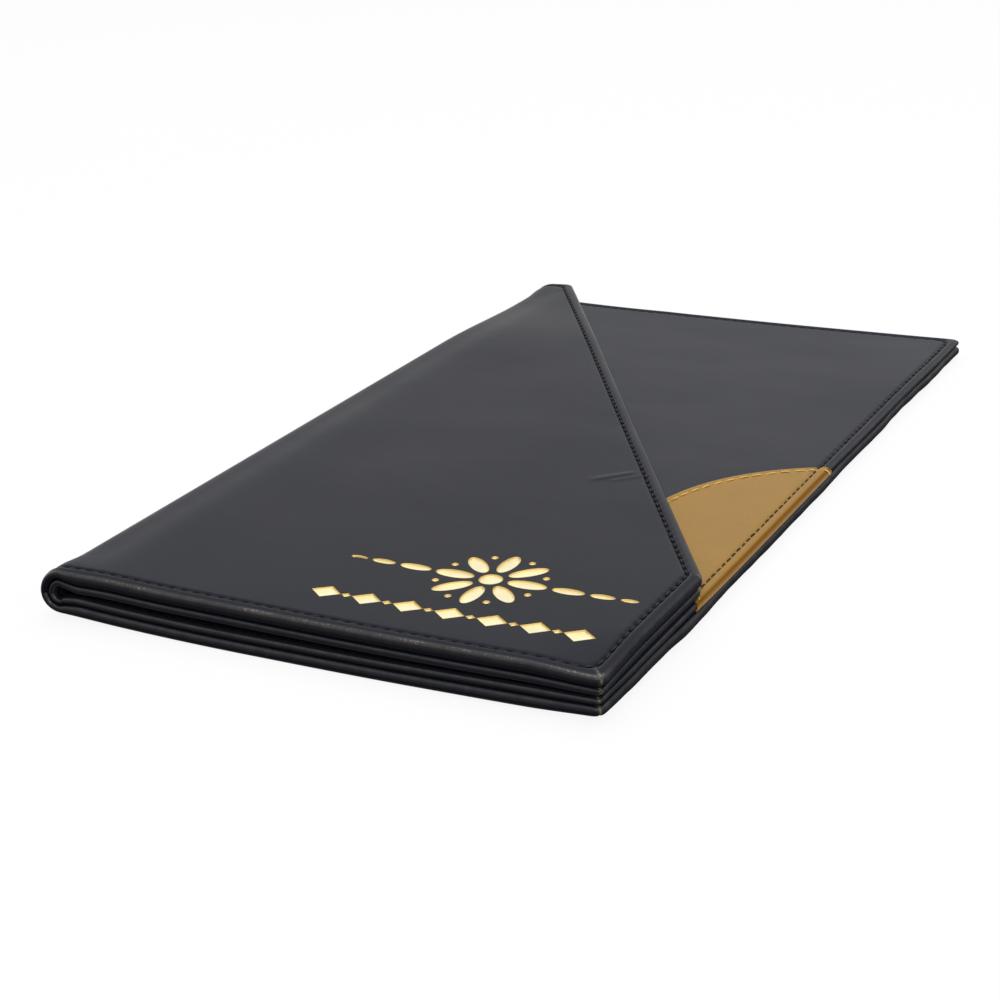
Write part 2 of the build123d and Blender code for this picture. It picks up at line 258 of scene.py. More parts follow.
class PresenterColours(bpy.types.PropertyGroup):
    """Colours of the finishes."""

    # The blue cast of these blacks is a painted bluish reflection of the sky on their tops
    leather: paint("Leather", "Leatherette of the covers", (0.0088, 0.0094, 0.0135))
    lining: paint("Lining", "Leatherette of the panels", (0.0094, 0.01, 0.0145))
    # Backing at worn specks, and also the colour of the painted highlight line along rubbed rims
    worn_and_highlight_colour: paint("Worn", "Backing that shows at worn spots", (0.15, 0.13, 0.105))
    accent: paint("Accent", "Leatherette of the accent", (0.322, 0.176, 0.03))
    # Painted shade on the accent's roll: a dark band along its middle and a darker turn past it
    crease: paint("Crease", "Accent's leatherette where it is creased", (0.18, 0.068, 0.004))
    thread: paint("Thread", "Thread of the rim seams", (0.01, 0.01, 0.0105))
    accent_thread: paint("Accent thread", "Thread of the accent's seam", (0.8, 0.52, 0.14))
    foil: paint("Foil", "Hot-stamped foil", (0.86, 0.78, 0.5))
    # Painted shade: the recess walls get a deeper, darker gold than the floors
    foil_wall: paint("Foil wall", "Foil on the walls of the recesses", (0.6, 0.4, 0.1))
    board: paint("Board", "Greyboard", (0.32, 0.29, 0.25))
    card: paint("Card", "Card of the panels", (0.45, 0.42, 0.36))
    foam: paint("Foam", "Foam under the flap's leatherette", (0.12, 0.12, 0.12))
    floor: paint("Floor", "Floor of the stage", (0.92, 0.92, 0.92))


# Shapes


def ramp(value, start, end):
    """Eases from 0 at the start to 1 at the end, which may be the lower of the two."""
    share = min(max((value - start) / (end - start), 0.0), 1.0)
    return share * share * (3 - 2 * share)


def mix(low, high, share):
    """The value at a share of the way from low to high."""
    return low + (high - low) * share


def bell(offset, width):
    """1 at no offset, falling off smoothly over the width."""
    return exp(-((offset / width) ** 2))


def cross(first, second):
    """The turn from one plan direction to another."""
    return first.x * second.y - first.y * second.x


def at_edge(u):
    """1 at the opening edge, easing to 0 in the field."""
    return ramp(u - REACH, -30 * MM, -2 * MM)


def spot(out, up):
    """A plan point, in millimetres from the fold and from the near end."""
    return Vector((out * MM, NEAR + up * MM))


class Half:
    """One half of the presenter, in its own frame."""

    def __init__(self, sizes, place, cover_node, panel_node, corners):
        self.sizes = sizes
        self.place = place
        self.cover = self.extent(cover_node)[1].z
        self.depth = self.extent(panel_node)[1].z
        points = [Vector((-TAIL, NEAR)), *corners, Vector((-TAIL, FAR))]
        self.corners = []
        self.edges = []
        for last, point, following in zip(points, points[1:], points[2:]):
            before = (last - point).normalized()
            after = (following - point).normalized()
            sine = abs(cross(before, after))
            rounding = (1 + before.dot(after)) / sine
            self.corners.append(Corner(point, before, after, sine, rounding))
        for start, end in zip(points, points[1:]):
            along = (end - start).normalized()
            self.edges.append((start, Vector((-along.y, along.x))))

    def extent(self, node):
        """Lowest and highest corner of a CAD node in this half's frame."""
        inverse = self.place.inverted()
        points = [inverse @ vertex.co for vertex in frame["nodes"][node].data.vertices]
        return [Vector(map(pick, zip(*points))) for pick in (min, max)]

    def outline(self, inset):
        """Sharp corners of the plan at an inset from its free edges, from tail to tail."""
        free = [c.point + (c.before + c.after) * (inset / c.sine) for c in self.corners]
        return [Vector((-TAIL, NEAR + inset)), *free, Vector((-TAIL, FAR - inset))]

    def edge_distances(self, point):
        """Distances of a plan point from the lines of the free edges."""
        return [(point - start).dot(inward) for start, inward in self.edges]

    def beside_corners(self, point):
        """Each corner, with a plan point's places along its two edges."""
        for corner in self.corners:
            offset = point - corner.point
            turn = cross(corner.before, corner.after)
            yield corner, cross(offset, corner.after) / turn, cross(corner.before, offset) / turn

    def soften(self, point, lining=False):
        """Rounds the corners of the plan, more at the seam than at the rim, and creases them."""
        sizes = self.sizes
        rim = sizes.panel_corner if lining else sizes.cover_corner
        for corner, before, after in self.beside_corners(point):
            depth = min(before, after)
            distance = max(before, after) - depth
            inset = depth * corner.sine
            if not -MM <= inset <= CORNER_ZONE:
                continue
            radius = mix(rim, sizes.seam_corner, ramp(inset, 0, sizes.seam_inset))
            tangent = radius * ramp(inset, CORNER_ZONE, CORNER_ZONE / 2) * corner.rounding
            if distance >= tangent:
                continue
            share = (1 - distance / tangent) / 2
            crease = sizes.mitre_crease * bell(distance, CREASE_WIDTH) * ramp(inset, CREASE_REACH, 0)
            parts = [depth + tangent * part**2 + crease for part in (1 - share, share)]
            if before < after:
                parts.reverse()
            return corner.point + corner.before * parts[0] + corner.after * parts[1]
        return point

    def press(self, inset):
        """Height of the face over the field, by the distance from the cover's edge."""
        sizes = self.sizes
        crown = sizes.band_crown * bell(inset - CROWN_AT * sizes.seam_inset, CROWN_WIDTH)
        return crown - sizes.seam_sink * bell(inset - sizes.seam_inset, sizes.seam_width)

    def calm(self, u, v):
        """Where the field may ripple: not at the fold."""
        return ramp(u, 0, FOLD_ZONE)

    def slack(self, u, v):
        """How far the leatherette lies inside its drawn place."""
        sizes = self.sizes
        ripple = 0.0
        for kind in RIPPLES:
            place = Vector((u / kind.across, v / kind.along, self.seed + kind.seed))
            ripple += kind.height * noise.noise(place)
        near_hem = NEAR + sizes.near_hem
        far_hem = FAR - sizes.far_hem
        hollow = ramp(v, near_hem - MM, near_hem + 2 * MM) * ramp(v, far_hem + MM, far_hem - 2 * MM)
        sunk = sizes.spine_sink * hollow * self.give(u)
        return sizes.ripple * ripple * self.calm(u, v) + sunk + self.rise(u)

    def crease(self, u, v):
        """How far the creases push the leatherette in."""
        depth = 0.0
        for crease in self.creases:
            span = crease.end - crease.start
            offset = Vector((u, v)) - crease.start
            share = offset.dot(span) / span.length_squared
            across = cross(span, offset) / span.length
            fade = ramp(share, 0, 0.25) * ramp(share, 1, 0.75)
            depth += crease.depth * fade * bell(across, crease.width)
        return depth

    def wander(self, u, v, lining):
        """How far the opening edge strays: not at all where it runs straight."""
        return 0.0

    def creep(self, u, v):
        """Lets a panel creep out at its opening edge and its near end."""
        sizes = self.sizes
        past_accent = ramp(v, 10 * MM, 30 * MM)
        past_seam = ramp(u - REACH, -2.8 * MM, -0.5 * MM)
        out = sizes.panel_creep * at_edge(u) + sizes.edge_creep * past_accent * past_seam
        return u + out, v - sizes.panel_creep * ramp(v, NEAR + 28 * MM, NEAR)

    def fold(self, point, lining=False):
        """Carries a point of this half's frame to the row frame."""
        sizes = self.sizes
        u, v, w = point
        u += self.wander(u, v, lining)
        if lining:
            u, v = self.creep(u, v)
        bent = ramp(u, 5 * MM, -3 * MM)
        if lining:
            low = mix(self.cover, sizes.cover_band + sizes.lining_gap, bent)
            high = mix(self.depth, sizes.cover_band + sizes.lining_gap + sizes.lining_band, bent)
            w = low + (w - self.cover) * (high - low) / (self.depth - self.cover)
        else:
            w *= mix(1, sizes.cover_band / self.cover, bent)
            w += self.crease(u, v)
        w += self.slack(u, v)
        if u < 0:
            angle = -u / FOLD_RADIUS
            radius = FOLD_RADIUS - w
            u = -radius * sin(angle)
            w = FOLD_RADIUS - radius * cos(angle)
        return self.settle(self.place @ Vector((u, v, w)))

    def settle(self, point):
        """Lets the shut presenter lie as it does: opening edge bowed up, far end of the fold flatter.

        out is 0 at the fold and 1 at the opening edge, end is -1 at the near end and 1 at the far end.
        """
        sizes = self.sizes
        out = (point.x - FOLD_X) / REACH
        end = point.y / FAR
        flat = ramp(end, 0.45, 0.85) * min(1.0, max(0.0, 1 - out / 0.3))
        tip = ramp(out, 0.86, 1) * ramp(end, -0.82, -1)
        curl = max(0.0, (out - 0.45) / 0.55) ** 2
        bow = max(0.0, (out - 0.6) / 0.4) * (1 - end * end)
        lift = curl * (sizes.corner_lift * ramp(end, -0.3, -1) + sizes.far_lift * ramp(end, 0.3, 1))
        lift += sizes.edge_lift * bow + sizes.corner_tip * tip
        z = point.z * (1 - sizes.fold_press * flat) * (1 - sizes.corner_press * tip)
        return Vector((point.x, point.y, z + lift))

    def mitre(self, point):
        """1 on the crease of a wrapped corner, 0 away from it."""
        for _, before, after in self.beside_corners(point):
            closeness = bell(before - after, WORN_HIGHLIGHT_WIDTH)
            if min(before, after) < WORN_HIGHLIGHT_REACH and closeness > 0.01:
                return closeness
        return 0.0


class BackHalf(Half):
    """The half that lies on the table, its lining up."""

    seed = 3.0
    rubbed_and_highlight = 0.3
    creases = ()
    bulges = (Bulge(NEAR + 46 * MM, 0.65 * MM, 11 * MM), Bulge(NEAR + 88 * MM, -0.3 * MM, 14 * MM))
    lining_up = True
    body = "back_half"
    bodies = ("back_half", "spine")

    def __init__(self, sizes):
        place = Matrix.Translation((FOLD_X, 0, 0))
        corners = (Vector((REACH, NEAR)), Vector((REACH, FAR)))
        super().__init__(sizes, place, "back_cover_skin", "back_panel_skin", corners)

    def wander(self, u, v, lining):
        """How far the opening edge strays: out at the far end, and the cover's in waves."""
        sizes = self.sizes
        out = sizes.far_creep * ramp(v, 50 * MM, 110 * MM)
        out -= sizes.corner_tuck * bell(v - NEAR, 10 * MM)
        out *= at_edge(u)
        if lining:
            return out
        wavy = sum(bulge.out * bell(v - bulge.place, bulge.width) for bulge in self.bulges)
        for wave in EDGE_WAVES:
            place = Vector((wave.place[0], v / wave.along, wave.place[1]))
            wavy += sizes.edge_wave * wave.height * noise.noise(place)
        return out + wavy * ramp(u - REACH, -9 * MM, -MM)

    def give(self, u):
        """Where the spine may sink."""
        return ramp(u, 0, -4 * MM)

    def rise(self, u):
        """The fold's spring lifts this half off the table."""
        sizes = self.sizes
        if u > 0:
            return sizes.fold_lift * max(0.0, 1 - u / sizes.fold_lift_reach) ** 2
        return sizes.fold_lift * cos(-u / FOLD_RADIUS) ** 2


class FlapHalf(Half):
    """The slanted half that lies on top, its cover up."""

    seed = 11.0
    rubbed_and_highlight = 1.0
    creases = (
        Crease(spot(81.3, 92.2), spot(91.2, 102.2), -0.2 * MM, 1.1 * MM),
        Crease(spot(85.8, 93.1), spot(94.2, 101.2), -0.1 * MM, 0.9 * MM),
    )
    lining_up = False
    body = "front_half"
    bodies = ("spine", "front_half")

    def __init__(self, sizes):
        place = Matrix((
            (cos(FLAP_TILT), 0, -sin(FLAP_TILT), FOLD_X + FOLD_RADIUS * sin(FLAP_TILT)),
            (0, 1, 0, 0),
            (-sin(FLAP_TILT), 0, -cos(FLAP_TILT), FOLD_RADIUS * (1 + cos(FLAP_TILT))),
            (0, 0, 0, 1),
        ))
        right = REACH - sizes.flap_setback
        corners = (
            Vector((right, NEAR)),
            Vector((right, NEAR + sizes.flap_side)),
            Vector((sizes.flap_tip, FAR)),
        )
        super().__init__(sizes, place, "front_cover_skin", "front_panel_skin", corners)
        low, high = self.extent("foil_ornament")
        margin = Vector((sizes.stamp_margin, sizes.stamp_margin))
        self.stamp = (low.xy - margin, high.xy + margin)
        self.stamp_depth = high.z

    def calm(self, u, v):
        """Where the field may ripple: not at the fold, nor where it was stamped flat."""
        low, high = self.stamp
        away = max(low.x - u, u - high.x, low.y - v, v - high.y)
        return super().calm(u, v) * ramp(away, 0, 16 * MM)

    def give(self, u):
        """Where the spine may sink."""
        return ramp(u, 9 * MM, 0)

    def rise(self, u):
        """The leatherette stands up a little just past the fold."""
        sizes = self.sizes
        return -sizes.flap_hump * bell(u - sizes.flap_hump_place, 9 * MM)


class Leaf:
    """The outer or the lining leatherette of a half, wrapped round its board."""

    def __init__(self, half, lining):
        sizes = half.sizes
        self.half = half
        self.lining = lining
        self.faces_up = lining == half.lining_up
        self.inset = PANEL_INSET if lining else 0.0
        self.roll = sizes.panel_roll if lining else sizes.cover_roll
        self.back = half.cover
        self.face = half.depth if lining else 0.0
        self.thickness = abs(self.face - self.back)


def plane_cut(bm, faces, normal, place, **options):
    """Cuts faces by a plane square to a direction, at a place along it."""
    faces = list(faces)
    edges = {edge for face in faces for edge in face.edges}
    verts = {vert for face in faces for vert in face.verts}
    geom = [*verts, *edges, *faces]
    bmesh.ops.bisect_plane(bm, geom=geom, plane_co=normal * place, plane_no=normal, **options)


def rule(bm, normal, places, marks=None):
    """Cuts all faces, or those of some marks, by parallel planes."""
    for place in places:
        faces = [face for face in bm.faces if marks is None or face.material_index in marks]
        plane_cut(bm, faces, normal, place, dist=SNAP)


def field_inside(bm, low, high):
    """The field's faces inside a plan rectangle."""
    faces = []
    for face in bm.faces:
        x, y, _ = face.calc_center_median()
        if face.material_index == FIELD and low.x < x < high.x and low.y < y < high.y:
            faces.append(face)
    return faces


def refine(bm, low, high, pitch):
    """Cuts the field into a finer grid inside a plan rectangle."""
    for axis, normal in enumerate((ACROSS, ALONG)):
        for place in spread(low[axis], high[axis], pitch):
            plane_cut(bm, field_inside(bm, low, high), normal, place, dist=SNAP)


def step_in(bm, faces, steps):
    """Insets a region of faces by steps (inward, rise)."""
    for inward, rise in steps:
        bmesh.ops.inset_region(
            bm, faces=faces, thickness=inward, depth=rise, use_even_offset=True, use_boundary=True
        )


def fold_mesh(bm, half, lining=False):
    """Carries a flat mesh to its place."""
    for vert in bm.verts:
        vert.co = half.fold(vert.co, lining)


def node_mesh(half, node):
    """The mesh of a CAD node in a half's frame, its corners joined."""
    bm = bmesh.new()
    bm.from_mesh(frame["nodes"][node].data)
    bmesh.ops.remove_doubles(bm, verts=bm.verts[:], dist=MM / 1000)
    bmesh.ops.transform(bm, matrix=half.place.inverted(), verts=bm.verts[:])
    return bm


def face_up(bm):
    """Turns every face of a flat sheet upwards."""
    bm.normal_update()
    down = [face for face in bm.faces if face.normal.z < 0]
    bmesh.ops.reverse_faces(bm, faces=down)


def spread(low, high, pitch):
    """Even places between two ends, about a pitch apart."""
    count = max(1, round((high - low) / pitch))
    return [low + (high - low) * index / count for index in range(1, count)]


def quarter(radius, steps=5):
    """Steps (inset, rise) of a quarter round, from a side up to a face."""
    turns = [pi / 2 * index / steps for index in range(steps + 1)]
    return [
        (radius * (cos(first) - cos(second)), radius * (sin(second) - sin(first)))
        for first, second in zip(turns, turns[1:])
    ]


def wrapped_leaf(leaf):
    """A leaf as it lies flat, its face at its thickness: rolled rims, crowned band, seam, field."""
    half = leaf.half
    sizes = half.sizes
    roll = leaf.roll
    bm = bmesh.new()
    bottom = bm.faces.new([bm.verts.new((*point, roll)) for point in half.outline(leaf.inset)])
    raised = bmesh.ops.extrude_face_region(bm, geom=[bottom])["geom"]
    top = next(part for part in raised if isinstance(part, bmesh.types.BMFace))
    bmesh.ops.translate(bm, verts=top.verts[:], vec=(0, 0, leaf.thickness - 2 * roll))
    bmesh.ops.recalc_face_normals(bm, faces=bm.faces[:])

    places = [sizes.seam_inset + line * MM for line in SEAM_LINES]
    places = [leaf.inset + roll] + [place for place in places if place > leaf.inset + roll]
    heights = [0] + [half.press(place) for place in places[1:]]
    steps = quarter(roll)
    for near, far, low, high in zip(places, places[1:], heights, heights[1:]):
        steps.append((far - near, high - low))
    hollow = sizes.crevice if leaf.faces_up else 1.0
    step_in(bm, [top], steps)
    step_in(bm, [bottom], [(inward * hollow, rise) for inward, rise in quarter(roll)])
    bmesh.ops.delete(bm, geom=[top, bottom], context="FACES_ONLY")

    sides = {}
    for edge in bm.edges:
        if edge.calc_length() > 4 * roll:
            middle = (edge.verts[0].co + edge.verts[1].co).xy / 2
            distances = half.edge_distances(middle)
            if min(distances) < middle.x + TAIL:
                sides.setdefault(distances.index(min(distances)), []).append(edge)
    for edges in sides.values():
        longest = max(edge.calc_length() for edge in edges)
        bmesh.ops.subdivide_edges(bm, edges=edges, cuts=ceil(longest / sizes.column) - 1)

    filled = bmesh.ops.edgeloop_fill(bm, edges=[edge for edge in bm.edges if edge.is_boundary])
    for face in filled["faces"]:
        face.material_index = FIELD if face.calc_center_median().z > leaf.thickness / 2 else HIDDEN
    plane_cut(bm, bm.faces, -ACROSS, HALF_BEND, clear_outer=True)
    ends = [edge for edge in bm.edges if edge.is_boundary]
    bmesh.ops.edgeloop_fill(bm, edges=ends)
    for edge in ends:
        edge.smooth = False
    rule(bm, ACROSS, spread(-HALF_BEND, 0, 0.75 * MM), (FIELD, HIDDEN))
    rule(bm, ACROSS, spread(-0.5 * MM, FOLD_ZONE, 1.5 * MM), (FIELD, HIDDEN))
    rule(bm, ACROSS, spread(FOLD_ZONE, REACH, sizes.cell), (FIELD,))
    rule(bm, ALONG, spread(NEAR, FAR, sizes.cell), (FIELD,))
    return bm


def stations(path, pitch, stitch, offset=0.0):
    """Both ends of each stitch along a polyline."""
    steps = [end - start for start, end in zip(path, path[1:])]
    total = sum(step.length for step in steps)
    marks = []
    while offset + stitch < total:
        marks += [offset, offset + stitch]
        offset += pitch
    points = []
    gone = 0.0
    index = 0
    for mark in marks:
        while gone + steps[index].length < mark:
            gone += steps[index].length
            index += 1
        points.append(path[index] + steps[index] * ((mark - gone) / steps[index].length))
    return Seam(points[::2], points[1::2])


def rim_seam(half):
    """The rim's stitches in plan, from the bend at the near end to the bend at the far end."""
    sizes = half.sizes
    corners = half.outline(sizes.seam_inset)
    path = []
    for start, end in zip(corners, corners[1:]):
        count = ceil((end - start).length / (0.2 * MM))
        path += [half.soften(start.lerp(end, index / count)) for index in range(count)]
    path = [point for point in path if point.x > -TAIL]
    first = SPARE + (sizes.stitch_pitch - sizes.stitch_length) / 2
    seam = stations(path, sizes.stitch_pitch, sizes.stitch_length, first)
    kept = [pair for pair in zip(*seam) if min(pair[0].x, pair[1].x) > -HALF_BEND]
    return Seam(*zip(*kept))


def stitch_form(sizes):
    """One stitch along X: a thread that narrows and dips into its holes at both ends."""
    radius = sizes.thread / 2
    half_length = sizes.stitch_length / 2
    bm = bmesh.new()
    bmesh.ops.create_cone(
        bm, cap_ends=True, segments=6, radius1=radius, radius2=radius, depth=2 * half_length
    )
    lengthways = [edge for edge in bm.edges if edge.calc_length() > half_length]
    bmesh.ops.subdivide_edges(bm, edges=lengthways, cuts=5)
    bmesh.ops.rotate(bm, verts=bm.verts, matrix=Matrix.Rotation(pi / 2, 3, "Y"))
    # Flatter than round, and more so where it dips
    for vert in bm.verts:
        dip = (vert.co.x / half_length) ** 4
        vert.co.y *= 1 - 0.4 * dip
        vert.co.z = vert.co.z * (0.85 - 0.35 * dip) - 0.75 * radius * dip
    mesh = bpy.data.meshes.new("stitch")
    bm.to_mesh(mesh)
    bm.free()
    return mesh


def sew(sizes, seam, seat, up, seed):
    """Stitches of a seam at a height, standing up or down from it."""
    form = stitch_form(sizes)
    chance = random.Random(seed)
    bm = bmesh.new()
    for start, end in zip(*seam):
        along = Matrix.Rotation(chance.uniform(-STRAY_TURN, STRAY_TURN), 2) @ (end - start).normalized()
        side = Vector((-along.y, along.x))
        middle = (start + end) / 2 + side * chance.uniform(-STRAY_ASIDE, STRAY_ASIDE)
        stretch = (end - start).length / sizes.stitch_length * chance.uniform(*STRAY_LENGTH)
        place = Matrix((
            (along.x * stretch, side.x, 0, middle.x),
            (along.y * stretch, side.y, 0, middle.y),
            (0, 0, up, seat + up * chance.uniform(-STRAY_HEIGHT, STRAY_HEIGHT)),
            (0, 0, 0, 1),
        ))
        known = len(bm.verts)
        bm.from_mesh(form)
        bm.verts.ensure_lookup_table()
        bmesh.ops.transform(bm, matrix=place, verts=bm.verts[known:])
    bpy.data.meshes.remove(form)
    return bm


def needle_holes(seam):
    """A search tree of the places where the thread goes in."""
    holes = [*seam.starts, *seam.ends]
    tree = kdtree.KDTree(len(holes))
    for index, hole in enumerate(holes):
        tree.insert((*hole, 0), index)
    tree.balance()
    return tree


def finish_mesh(bm, name, material):
    """The object of a finished mesh, with smooth faces of one material."""
    bmesh.ops.recalc_face_normals(bm, faces=bm.faces[:])
    for face in bm.faces:
        face.smooth = True
        face.material_index = 0
    mesh = bpy.data.meshes.new(name)
    bm.to_mesh(mesh)
    bm.free()
    mesh.materials.append(material)
    piece = bpy.data.objects.new(name, mesh)
    bpy.context.scene.collection.objects.link(piece)
    return piece


def bend_with(piece, half, lining):
    """Bakes the transform of a piece that crosses the fold into its mesh."""
    sizes = half.sizes
    outer = FOLD_RADIUS
    inner = FOLD_RADIUS - sizes.cover_band
    if lining:
        outer = inner - sizes.lining_gap
        inner = outer - sizes.lining_band
    if half.bodies[0] == "spine":
        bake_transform(piece)
    else:
        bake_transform(piece)


def add_piece(bm, name, slot, nodes, half, bent=False, lining=False):
    """The finished piece of a mesh, in place of its nodes, riding on its half, or with its transform
    baked if it crosses the fold.
    """
    piece = finish_mesh(bm, name, finish_of(slot))
    if bent:
        bend_with(piece, half, lining)
    else:
        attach(piece, half.body)
    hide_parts(*nodes)
    return piece


def dress(bm, leaf, seam):
    """Carries a flat leaf to its place, pulls it in at the needle holes and marks its rims: worn specks
    with a painted highlight line, painted shade, and polish.
    """
    half = leaf.half
    sizes = half.sizes
    roll = leaf.roll
    wear, side, polish = (bm.verts.layers.float.new(name) for name in ("wear", "side", "polish"))
    hole_sink = sizes.hole_sink * (0.5 if leaf.lining else 1)
    rubbed_and_highlight = 0.2 if leaf.lining else half.rubbed_and_highlight
    holes = needle_holes(seam)
    for vert in bm.verts:
        flat_plan = vert.co.xy
        plan = half.soften(flat_plan, leaf.lining)
        height = vert.co.z
        distance = min(half.edge_distances(flat_plan))
        from_edge = distance - leaf.inset
        on_face = height > leaf.thickness / 2
        upper = on_face == leaf.faces_up
        if on_face and abs(distance - sizes.seam_inset) < DIMPLE_ZONE:
            height -= hole_sink * bell(holes.find((*plan, 0))[2], DIMPLE_WIDTH)
        at_end = ramp(plan.y, NEAR + END_ZONE, NEAR)
        patches = 0.85 + 0.6 * noise.noise(Vector((plan.x / PATCH_LENGTH, 0, half.seed)))
        # The rubbed rim: worn specks and a painted highlight line
        rim = bell(from_edge - RUBBED_HIGHLIGHT_AT * roll, RUBBED_HIGHLIGHT_WIDTH) * at_end * patches * on_face
        vert[wear] = max(rim * rubbed_and_highlight, 1.2 * half.mitre(flat_plan))
        # Painted shade: darkens the colour near the edge, far into the rolls that overhang another leaf,
        # and also roughens it
        shaded = SHADE_REACH if on_face or upper else sizes.crevice
        vert[side] = ramp(from_edge, shaded * roll, 0)
        shoulder = bell(from_edge - GLEAM_AT * roll, GLEAM_WIDTH * roll) * upper
        vert[polish] = shoulder * mix(0.4, 1, at_end)
        w = leaf.back + (leaf.face - leaf.back) * height / leaf.thickness
        vert.co = half.fold(Vector((*plan, w)), leaf.lining)


# Finishes


def arithmetic(operation, swapped=False):
    """An operator of the sockets, made of a math node."""

    def combine(self, other):
        first, second = (other, self) if swapped else (self, other)
        return self.graph.node("ShaderNodeMath", {"operation": operation}, {0: first, 1: second})

    return combine


class Socket:
    """A node's output that takes part in arithmetic."""

    def __init__(self, graph, output):
        self.graph = graph
        self.output = output

    __add__ = arithmetic("ADD")
    __radd__ = arithmetic("ADD", swapped=True)
    __sub__ = arithmetic("SUBTRACT")
    __rsub__ = arithmetic("SUBTRACT", swapped=True)
    __mul__ = arithmetic("MULTIPLY")
    __rmul__ = arithmetic("MULTIPLY", swapped=True)
    __gt__ = arithmetic("GREATER_THAN")
    __lt__ = arithmetic("LESS_THAN")


class Graph:
    """The nodes of one finish, or of the world."""

    def __init__(self, name, kind="materials"):
        self.block = getattr(bpy.data, kind).new(name)
        self.block.use_nodes = True
        self.tree = self.block.node_tree
        self.tree.nodes.clear()

    def node(self, kind, settings=None, values=None, output=0):
        """Adds a node: its settings first, then the values or links of its sockets."""
        node = self.tree.nodes.new(kind)
        for name, value in (settings or {}).items():
            setattr(node, name, value)
        for name, value in (values or {}).items():
            if isinstance(value, Socket):
                self.tree.links.new(value.output, node.inputs[name])
            else:
                node.inputs[name].default_value = value
        return Socket(self, node.outputs[output]) if node.outputs else node

    def place(self):
        """The point on the piece, in metres."""
        return self.node("ShaderNodeTexCoord", output="Object")

    def noise(self, scale, detail=2.0, roughness=0.5, squash=None):
        """Soft noise about 0.5, of so many cells a metre."""
        vector = self.place()
        if squash:
            vector = self.node("ShaderNodeMapping", None, {"Vector": vector, "Scale": squash})
        values = {"Vector": vector, "Scale": scale, "Detail": detail, "Roughness": roughness}
        return self.node("ShaderNodeTexNoise", None, values)

    def attribute(self, name):
        """A value stored on the piece's vertices."""
        return self.node("ShaderNodeAttribute", {"attribute_name": name}, None, "Fac")

    def blend(self, share, first, second):
        """A colour between two, by a share."""
        colours = [c if isinstance(c, Socket) else (*c, 1) for c in (first, second)]
        values = {0: share, 6: colours[0], 7: colours[1]}
        return self.node("ShaderNodeMix", {"data_type": "RGBA"}, values, 2)

    def tint(self, colour, share):
        """A colour made darker or lighter by a share about 1."""
        grey = self.node("ShaderNodeCombineXYZ", None, {0: share, 1: share, 2: share})
        values = {0: 1.0, 6: colour if isinstance(colour, Socket) else (*colour, 1), 7: grey}
        return self.node("ShaderNodeMix", {"data_type": "RGBA", "blend_type": "MULTIPLY"}, values, 2)

    def bump(self, height, distance, strength=1.0):
        """A normal from a height in shares of a distance."""
        values = {"Strength": strength, "Distance": distance, "Height": height}
        return self.node("ShaderNodeBump", None, values)

    def finish(self, **sockets):
        """Closes the graph with one principled shader."""
        values = {name.replace("_", " "): value for name, value in sockets.items()}
        shader = self.node("ShaderNodeBsdfPrincipled", None, values)
        self.node("ShaderNodeOutputMaterial", None, {"Surface": shader})
        return self.block


def leatherette(name, colour, worn_and_highlight_colour, gloss, sheen):
    """Satin black leatherette: fine grain, faint smudges, rims polished and worn through in specks, a
    painted highlight line along rubbed rims, and painted shade on rims and crevices.
    """
    graph = Graph(name)
    grain = graph.noise(2600, 3, 0.6)
    pebble = graph.node(
        "ShaderNodeTexVoronoi", {"feature": "SMOOTH_F1"}, {"Vector": graph.place(), "Scale": 1500}
    )
    smudge = graph.noise(26, 4, 0.55, (1, 2.2, 1))
    specks = graph.noise(2300, 2, 0.6)
    dust = (graph.noise(1900, 1) > 0.845) * 0.5
    # Worn specks, and a painted highlight line that lightens the rubbed rims and the mitres
    wear = graph.attribute("wear")
    bare_and_highlight = (specks > 0.8 - wear * 0.27) * 0.7 + wear * 0.22 + dust
    # Painted shade on the rims and in the crevices between leaves, from the side attribute
    side = graph.attribute("side")
    shade = graph.tint(colour, 0.85 + smudge * 0.3 - side * 0.6)
    return graph.finish(
        Base_Color=graph.blend(bare_and_highlight, shade, worn_and_highlight_colour),
        Roughness=gloss + (smudge - 0.5) * 0.14 + bare_and_highlight * 0.2 + side * 0.58,
        Specular_IOR_Level=sheen,
        # Painted bluish reflection: this tint stands in for a bluish sky
        Specular_Tint=(0.68, 0.72, 1, 1),
        Coat_Weight=graph.attribute("polish") * (0.4 + graph.noise(420, 2) * 1.1),
        Coat_Roughness=0.24,
        Normal=graph.bump(grain * 0.6 + pebble * 0.4, 0.06 * MM, 0.35),
    )


def accent_leather(name, colour, crease):
    """Old-gold leatherette with a pearly sheen, painted darker along its roll as shade."""
    graph = Graph(name)
    grain = graph.noise(2200, 3, 0.6)
    flakes = graph.noise(3800, 1)
    cloud = graph.noise(70, 3)
    # Marks the painted shade on the roll
    roll_shade = graph.attribute("crease")
    shade = graph.tint(colour, 0.66 + flakes * 0.44 + cloud * 0.24)
    return graph.finish(
        Base_Color=graph.blend(roll_shade, shade, crease),
        Metallic=0.4,
        Specular_IOR_Level=0.15,
        Roughness=0.42 + (cloud - 0.5) * 0.1 + roll_shade * 0.45,
        Normal=graph.bump(grain, 0.06 * MM, 0.3),
    )


def thread_finish(name, colour):
    """Twisted sewing thread."""
    graph = Graph(name)
    twist = graph.node(
        "ShaderNodeTexWave",
        {"wave_type": "BANDS", "bands_direction": "DIAGONAL"},
        {"Vector": graph.place(), "Scale": 700, "Distortion": 2.0, "Detail": 1.0},
        "Fac",
    )
    return graph.finish(
        Base_Color=graph.tint(colour, 0.75 + twist * 0.4),
        Specular_IOR_Level=0.2,
        Roughness=0.55,
        Normal=graph.bump(twist, 0.08 * MM, 0.6),
    )


